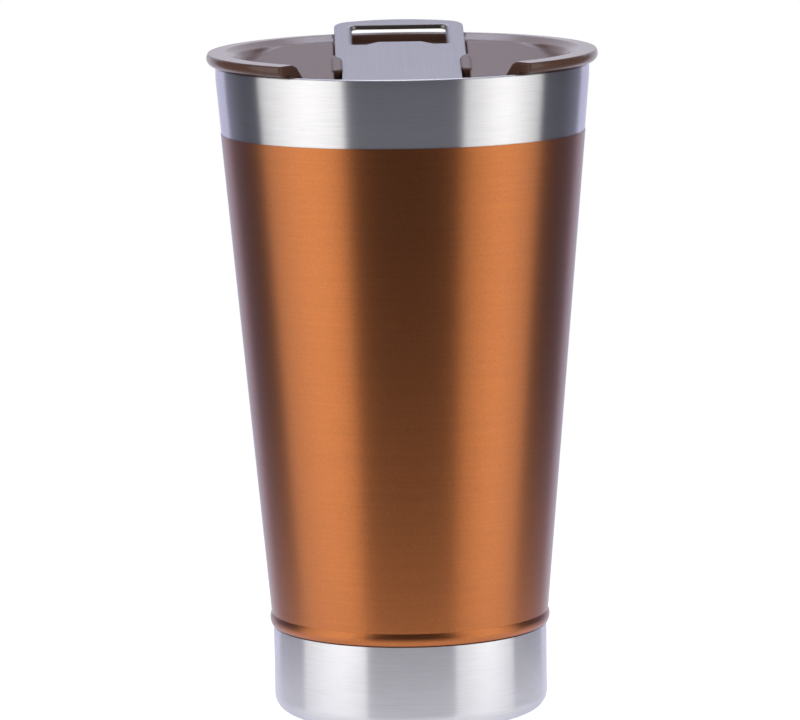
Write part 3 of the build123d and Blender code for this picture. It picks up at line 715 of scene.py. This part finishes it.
@dataclass
class Opener:
    """The flat steel plate that is shutter and bottle opener."""

    steel: BrushedSteel = BrushedSteel(
        "lengthwise_brushed_steel",
        colour="#969596",
        roughness=0.46,
        anisotropy=0.5,
        grain=Grain.ALONG,
        scratch_width=0.3,
        scratch_length=30.0,
        scratch_contrast=0.045,
    )
    slope: float = 11.0  # degrees
    thickness: float = 1.2
    slot_half_width: float = 12.5
    slot_margin: float = 0.4  # beyond it, for the slot's broken edges
    slot_round: float = 1.3  # rounding of the stamped slot's ends
    slot_flare: float = 0.3  # how much wider the slot is at the plate's top
    slot_reach: tuple[float, float] = (28.5, 46.6)  # along the plate from the lid's axis
    cut_depths: tuple[float, ...] = (0.1, 0.3, 0.45, 0.65, 0.9)  # where it gets rows of points
    flat_limit: float = 0.9998  # cosine between a flat face's normal and the plate's
    sharp_angle: float = 35.0  # degrees

    @property
    def upwards(self) -> Vector:
        """Normal of the plate's top face."""
        tilt = math.radians(self.slope)
        return Vector((0.0, -math.sin(tilt), math.cos(tilt)))

    def part_upwards(self, vectors: np.ndarray) -> np.ndarray:
        """Take the part of vectors along the normal of the plate's top face.

        Each product is rounded to single precision, as the mesh's own numbers are, and summed up
        in double precision.

        Args:
            vectors: Points or normals, one row each.

        Returns:
            The sum of the products of their parts and the normal's.
        """
        products = vectors.astype(np.float32) * np.array(self.upwards, np.float32)
        return products.sum(axis=1, dtype=float)

    def rounded(self, points: np.ndarray) -> np.ndarray:
        """Round the slot's ends over the plate's thickness.

        At the share u of the thickness below the top face, the half width is the flat slot's, plus
        the flare, less the rounding times sqrt(u (2 - u)), a quarter of an ellipse that starts
        level and ends upright. A point's own x is scaled by the same ratio.

        Args:
            points: The plate's vertices, one row each, in metres.

        Returns:
            The moved vertices.
        """
        height = self.part_upwards(points)
        share = np.clip((height.max() - height) / (self.thickness * MM), 0.0, 1.0)
        along = points[:, 1] / math.cos(math.radians(self.slope)) / MM
        low, high = self.slot_reach
        beside = np.abs(points[:, 0]) > (self.slot_half_width + self.slot_margin) * MM
        inside = ~beside & (along > low) & (along < high)
        change = self.slot_flare - self.slot_round * np.sqrt(share * (2 - share))
        moved = points.copy()
        moved[inside, 0] *= 1 + change[inside] / self.slot_half_width
        return moved

    def sharpen(self, mesh: bpy.types.Mesh) -> None:
        """Shade the plate smooth, with sharp edges.

        An edge is sharp where its two faces differ by more than the sharp angle. So is one between
        a flat face and a rounded edge, and the flat faces keep their own normals up to there. An
        edge with one face stays smooth.

        Args:
            mesh: The plate, made of triangles.
        """
        mesh.polygons.foreach_set("use_smooth", np.ones(len(mesh.polygons), bool))
        normals = read(mesh.polygons, "normal")
        edges = read(mesh.loops, "edge_index", 1, int).ravel()
        faces = np.arange(len(edges)) // 3
        one, other = np.zeros((2, len(mesh.edges)), int)
        # of the faces at an edge, the last one written stays
        one[edges] = faces
        other[edges[::-1]] = faces[::-1]
        flat = np.abs(self.part_upwards(normals)) > self.flat_limit
        turn = (normals[one] * normals[other]).sum(axis=1)
        sharp = (flat[one] != flat[other]) | (turn < math.cos(math.radians(self.sharp_angle)))
        mesh.edges.foreach_set("use_edge_sharp", sharp)

    def stamp(self, node: bpy.types.Mesh) -> bpy.types.Mesh:
        """Make a merged copy of the plate with rounded slot ends.

        Args:
            node: The CAD node's mesh.

        Returns:
            The copy, made of triangles.
        """
        top = self.part_upwards(read(node.vertices, "co")).max()
        work = bmesh.new()
        work.from_mesh(node)
        bmesh.ops.remove_doubles(work, verts=work.verts, dist=MERGE_DISTANCE)
        for depth in self.cut_depths:
            bmesh.ops.bisect_plane(
                work,
                geom=[*work.verts, *work.edges, *work.faces],
                plane_co=self.upwards * (top - depth * MM),
                plane_no=self.upwards,
            )
        bmesh.ops.triangulate(work, faces=work.faces)
        mesh = bpy.data.meshes.new("stamped_opener")
        work.to_mesh(mesh)
        work.free()
        points = self.rounded(read(mesh.vertices, "co"))
        mesh.vertices.foreach_set("co", points.ravel())
        mesh.update()
        self.sharpen(mesh)
        return mesh

    def dress(self, nodes: dict[str, bpy.types.Object]) -> dict[str, bpy.types.Material]:
        """Let the stamped plate stand for the node, and give it its finish.

        Args:
            nodes: The CAD nodes' objects by name.

        Returns:
            The material of each shown piece by name.
        """
        made = bpy.data.objects.new("stamped_opener", self.stamp(nodes["opener_plate"].data))
        bpy.context.scene.collection.objects.link(made)
        steel = self.steel.make()
        made.data.materials.append(steel)
        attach(made, "opener")
        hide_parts("opener_plate")
        return {made.name: steel}


# ---- studio --------------------------------------------------------------------------------------
@dataclass(frozen=True)
class Softbox:
    """A flat rectangular softbox that faces the object, brightest along one upright line.

    The direction is counted from the drinking side, positive to the right, and the rise from the
    horizontal, both in degrees. Sizes are metres, and a radiance of 1 is white.
    """

    name: str
    direction: float
    rise: float
    distance: float
    size: tuple[float, float]
    radiance: float
    colour: str = "#FFFDF0"
    edge: float = 0.62  # radiance at the side farthest from the peak, as a share of the peak's
    peak: float = 0.5  # where across the lamp it is brightest, from 0 to 1

    def place(self, target: Vector) -> bpy.types.Object:
        """Put the lamp in the scene, facing the target.

        From its peak the radiance falls to the edge's share, by a smooth step of the distance from
        the peak across the lamp, which reaches 1 at the side farthest from it.

        Args:
            target: The point that the lamp faces.

        Returns:
            The lamp's object.
        """
        data = bpy.data.lights.new(self.name, "AREA")
        data.shape = "RECTANGLE"
        data.size, data.size_y = self.size
        # a flat lamp that sends its power over a half space has a radiance of power / (pi * area)
        data.energy = self.radiance * math.pi * self.size[0] * self.size[1]
        data.color = linear(self.colour)[:3]
        data.use_nodes = True
        tree = data.node_tree
        tree.nodes.clear()
        surface = add_node(tree, "ShaderNodeNewGeometry")
        across = add_node(
            tree, "ShaderNodeSeparateXYZ", inputs={"Vector": surface.outputs["Parametric"]}
        )
        past_peak = add_node(
            tree,
            "ShaderNodeMath",
            settings={"operation": "SUBTRACT"},
            inputs={0: across.outputs["X"], 1: self.peak},
        )
        off_peak = add_node(
            tree,
            "ShaderNodeMath",
            settings={"operation": "ABSOLUTE"},
            inputs={0: past_peak.outputs[0]},
        )
        share = add_node(
            tree,
            "ShaderNodeMapRange",
            settings={"interpolation_type": "SMOOTHSTEP"},
            inputs={
                "Value": off_peak.outputs[0],
                "From Max": max(self.peak, 1 - self.peak),
                "To Min": 1.0,
                "To Max": self.edge,
            },
        )
        glow = add_node(tree, "ShaderNodeEmission", inputs={"Strength": share.outputs[0]})
        add_node(tree, "ShaderNodeOutputLight", inputs={"Surface": glow.outputs[0]})
        lamp = bpy.data.objects.new(self.name, data)
        turn, rise = math.radians(self.direction), math.radians(self.rise)
        outwards = Vector(
            (math.cos(rise) * math.sin(turn), -math.cos(rise) * math.cos(turn), math.sin(rise))
        )
        lamp.location = target + self.distance * outwards
        lamp.rotation_euler = (-outwards).to_track_quat("-Z", "Y").to_euler()
        lamp.visible_camera = False
        bpy.context.scene.collection.objects.link(lamp)
        return lamp


@dataclass
class Studio:
    """A small white table in a dark room that is open towards a white backdrop.

    A softbox stands at each side, and two hang above and behind. Sizes are metres.
    """

    table_radius: float = 0.40
    table_full: float = 0.075  # radius up to which the table is at its full white
    table_falloff: float = 0.30
    table_colour: str = "#F4F4F5"
    table_glow: float = 0.60  # what it lacks to white
    table_roughness: float = 0.70
    table_rings: int = 24
    table_spokes: int = 96
    room_radius: float = 2.6
    room_colour: str = "#5F5F65"
    room_rise: float = 89.0  # degrees up and down to which the room reaches
    room_columns: int = 72
    room_rows: int = 36
    backdrop_half_angle: float = 37.0  # degrees
    backdrop_fade: float = 26.0  # degrees over which the room pales towards the backdrop
    backdrop_spill: float = 0.17  # share of the backdrop's white at the room's edge
    backdrop_colour: str = "#F2F0FF"  # what gloss sees of the white backdrop
    ambient: float = 0.35  # strength of the world for what isn't seen directly or in gloss
    lamp_target: tuple[float, float, float] = (0.0, 0.0, 0.15)
    softboxes: tuple[Softbox, ...] = (
        Softbox("softbox_left", -68.9, 0.0, 1.0, (1.22, 1.7), 1.76, edge=0.60, peak=0.62),
        Softbox("softbox_right", 65.5, 0.0, 1.0, (1.09, 1.7), 1.70, edge=0.60),
        Softbox("softbox_top", 180.0, 83.0, 1.3, (0.9, 0.9), 1.60),
        Softbox("softbox_back", 180.0, 47.0, 1.2, (0.9, 0.5), 2.50, colour="#E6ECFF"),
    )

    @staticmethod
    def seen(tree: bpy.types.NodeTree) -> bpy.types.NodeSocket:
        """Tell what the camera, gloss and glass see from what only lights a surface.

        Args:
            tree: The node tree of a material or of the world.

        Returns:
            A socket that is 1 for what is seen and 0 for the rest.
        """
        path = add_node(tree, "ShaderNodeLightPath")
        shiny = add_node(
            tree,
            "ShaderNodeMath",
            settings={"operation": "MAXIMUM"},
            inputs={0: path.outputs["Is Glossy Ray"], 1: path.outputs["Is Transmission Ray"]},
        )
        every = add_node(
            tree,
            "ShaderNodeMath",
            settings={"operation": "MAXIMUM"},
            inputs={0: path.outputs["Is Camera Ray"], 1: shiny.outputs[0]},
        )
        return every.outputs[0]

    def world(self) -> None:
        """Make the world, white for what is seen and a grey ambient for the rest."""
        world = bpy.data.worlds.new("studio_world")
        world.use_nodes = True
        tree = world.node_tree
        tree.nodes.clear()
        strength = add_node(
            tree,
            "ShaderNodeMapRange",
            inputs={"Value": self.seen(tree), "To Min": self.ambient, "To Max": 1.0},
        )
        path = add_node(tree, "ShaderNodeLightPath")
        colour = add_node(
            tree,
            "ShaderNodeMix",
            settings={"data_type": "RGBA"},
            inputs={
                MIX_FACTOR: path.outputs["Is Glossy Ray"],
                MIX_A: WHITE,
                MIX_B: linear(self.backdrop_colour),
            },
        )
        light = add_node(
            tree,
            "ShaderNodeBackground",
            inputs={"Color": colour.outputs[MIX_RESULT], "Strength": strength.outputs[0]},
        )
        add_node(tree, "ShaderNodeOutputWorld", inputs={"Surface": light.outputs[0]})
        bpy.context.scene.world = world

    def table(self) -> bpy.types.Object:
        """Make the table, a flat disc on a polar grid: x = r sin a, y = -r cos a, z = 0.

        What it lacks to white is added as a glow, so that only the object's shadow darkens it.
        It fades out with the distance from the object, as a power of the share of its radius.

        Returns:
            The table's object.
        """
        radius = np.linspace(MM, self.table_radius, self.table_rings)[:, None]
        angle = np.linspace(0, 2 * np.pi, self.table_spokes, endpoint=False)[None, :]
        flat = np.zeros_like(radius * angle)
        points = np.stack([radius * np.sin(angle), -radius * np.cos(angle), flat], axis=-1)
        made = grid_mesh("table", points, closed=True)
        material, tree = new_material("white_table_top")
        place = add_node(tree, "ShaderNodeTexCoord")
        distance = add_node(
            tree,
            "ShaderNodeVectorMath",
            settings={"operation": "LENGTH"},
            inputs={0: place.outputs["Object"]},
        )
        share = add_node(
            tree,
            "ShaderNodeMapRange",
            inputs={
                "Value": distance.outputs["Value"],
                "From Min": self.table_full,
                "From Max": self.table_radius,
            },
        )
        fade = add_node(
            tree,
            "ShaderNodeMath",
            settings={"operation": "POWER"},
            inputs={0: share.outputs[0], 1: self.table_falloff},
        )
        paper = add_node(
            tree,
            "ShaderNodeBsdfPrincipled",
            inputs={"Base Color": linear(self.table_colour), "Roughness": self.table_roughness},
        )
        glow_strength = add_node(
            tree,
            "ShaderNodeMath",
            settings={"operation": "MULTIPLY"},
            inputs={0: self.seen(tree), 1: self.table_glow},
        )
        glow = add_node(
            tree, "ShaderNodeEmission", inputs={"Strength": glow_strength.outputs[0]}
        )
        lit = add_node(
            tree, "ShaderNodeAddShader", inputs={0: paper.outputs[0], 1: glow.outputs[0]}
        )
        clear = add_node(tree, "ShaderNodeBsdfTransparent")
        mixed = add_node(
            tree,
            "ShaderNodeMixShader",
            inputs={0: fade.outputs[0], 1: lit.outputs[0], 2: clear.outputs[0]},
        )
        add_node(tree, "ShaderNodeOutputMaterial", inputs={"Surface": mixed.outputs[0]})
        made.data.materials.append(material)
        return made

    def room(self) -> bpy.types.Object:
        """Make the dark room round the table, open towards the backdrop and paler beside it.

        Part of a sphere: x = r cos e sin a, y = -r cos e cos a, z = r sin e, with a from the
        drinking side round to the edge of the backdrop on either side.

        Returns:
            The room's object.
        """
        reach = math.radians(180.0 - self.backdrop_half_angle)
        angle = np.linspace(-reach, reach, self.room_columns)[None, :]
        rise = np.radians(np.linspace(-self.room_rise, self.room_rise, self.room_rows))[:, None]
        radius = self.room_radius
        points = radius * np.stack(
            [
                np.cos(rise) * np.sin(angle),
                -np.cos(rise) * np.cos(angle),
                np.sin(rise) * np.ones_like(angle),
            ],
            axis=-1,
        )
        made = grid_mesh("dark_room", points, closed=False)
        material, tree = new_material("black_cloth")
        place = add_node(tree, "ShaderNodeTexCoord")
        level = add_node(
            tree,
            "ShaderNodeVectorMath",
            settings={"operation": "MULTIPLY"},
            inputs={0: place.outputs["Object"], 1: (1.0, 1.0, 0.0)},
        )
        towards = add_node(
            tree,
            "ShaderNodeVectorMath",
            settings={"operation": "NORMALIZE"},
            inputs={0: level.outputs[0]},
        )
        parts = add_node(tree, "ShaderNodeSeparateXYZ", inputs={0: towards.outputs[0]})
        start = math.radians(180.0 - self.backdrop_half_angle - self.backdrop_fade)
        spill = add_node(
            tree,
            "ShaderNodeMapRange",
            settings={"interpolation_type": "SMOOTHSTEP"},
            inputs={
                "Value": parts.outputs["Y"],
                "From Min": -math.cos(start),
                "From Max": -math.cos(reach),
                "To Max": self.backdrop_spill,
            },
        )
        colour = add_node(
            tree,
            "ShaderNodeMix",
            settings={"data_type": "RGBA"},
            inputs={
                MIX_FACTOR: spill.outputs[0],
                MIX_A: linear(self.room_colour),
                MIX_B: linear(self.backdrop_colour),
            },
        )
        glow = add_node(
            tree,
            "ShaderNodeEmission",
            inputs={"Color": colour.outputs[MIX_RESULT], "Strength": 1.0},
        )
        add_node(tree, "ShaderNodeOutputMaterial", inputs={"Surface": glow.outputs[0]})
        made.data.materials.append(material)
        made.visible_camera = False
        made.visible_diffuse = False
        made.visible_shadow = False
        return made

    def build(self) -> list[bpy.types.Object]:
        """Put the world, the table, the room and the lamps in the scene.

        Returns:
            Their objects.
        """
        self.world()
        target = Vector(self.lamp_target)
        return [self.table(), self.room(), *(box.place(target) for box in self.softboxes)]


@dataclass
class Camera:
    """A long lens a little above the tumbler, turned slightly off its axis.

    It first aims at the middle of the cup, at the target height. Angles are degrees, the distance
    and the heights metres, the lens and its sensor millimetres.
    """

    azimuth: float = -1.0
    elevation: float = 8.644
    distance: float = 1.28692
    target_height: float = 0.07398
    lens: float = 240.99
    pan: float = 0.0682
    tilt: float = 0.4682
    roll: float = 0.8229
    sensor: float = 36.0
    nearest: float = 0.05
    farthest: float = 50.0

    def build(self) -> bpy.types.Object:
        """Place the camera: aim at the target, then pan, tilt and roll about its own axes.

        Returns:
            The camera's object.
        """
        rise, turn = math.radians(self.elevation), math.radians(self.azimuth)
        back = Vector(
            (math.sin(turn) * math.cos(rise), -math.cos(turn) * math.cos(rise), math.sin(rise))
        )
        right = Vector((math.cos(turn), math.sin(turn), 0.0))
        ahead = -back
        up = right.cross(ahead)
        pan = Matrix.Rotation(math.radians(self.pan), 3, up)
        ahead, right = pan @ ahead, pan @ right
        tilt = Matrix.Rotation(math.radians(self.tilt), 3, right)
        ahead, up = tilt @ ahead, tilt @ up
        roll = Matrix.Rotation(math.radians(self.roll), 3, ahead)
        right, up = roll @ right, roll @ up
        data = bpy.data.cameras.new("camera")
        data.lens, data.sensor_width = self.lens, self.sensor
        data.clip_start, data.clip_end = self.nearest, self.farthest
        camera = bpy.data.objects.new("camera", data)
        axes = Matrix((right, up, -ahead)).transposed().to_4x4()
        place = back * self.distance + Vector((0.0, 0.0, self.target_height))
        camera.matrix_world = Matrix.Translation(place) @ axes
        bpy.context.scene.collection.objects.link(camera)
        bpy.context.scene.camera = camera
        return camera


def main() -> None:
    """Build the camera, the studio and the sub-assemblies in order, and report each piece."""
    logging.basicConfig(level=logging.INFO, format="%(name)s: %(message)s")
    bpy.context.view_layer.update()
    bpy.context.scene.view_settings.view_transform = "Standard"
    for piece in (Camera().build(), *Studio().build()):
        log.info("%s placed", piece.name)
    for assembly in (Cup(), Lid(), Opener()):
        for name, material in assembly.dress(frame["nodes"]).items():
            log.info("%s wears %s", name, material.name)


if __name__ == "__main__":
    main()
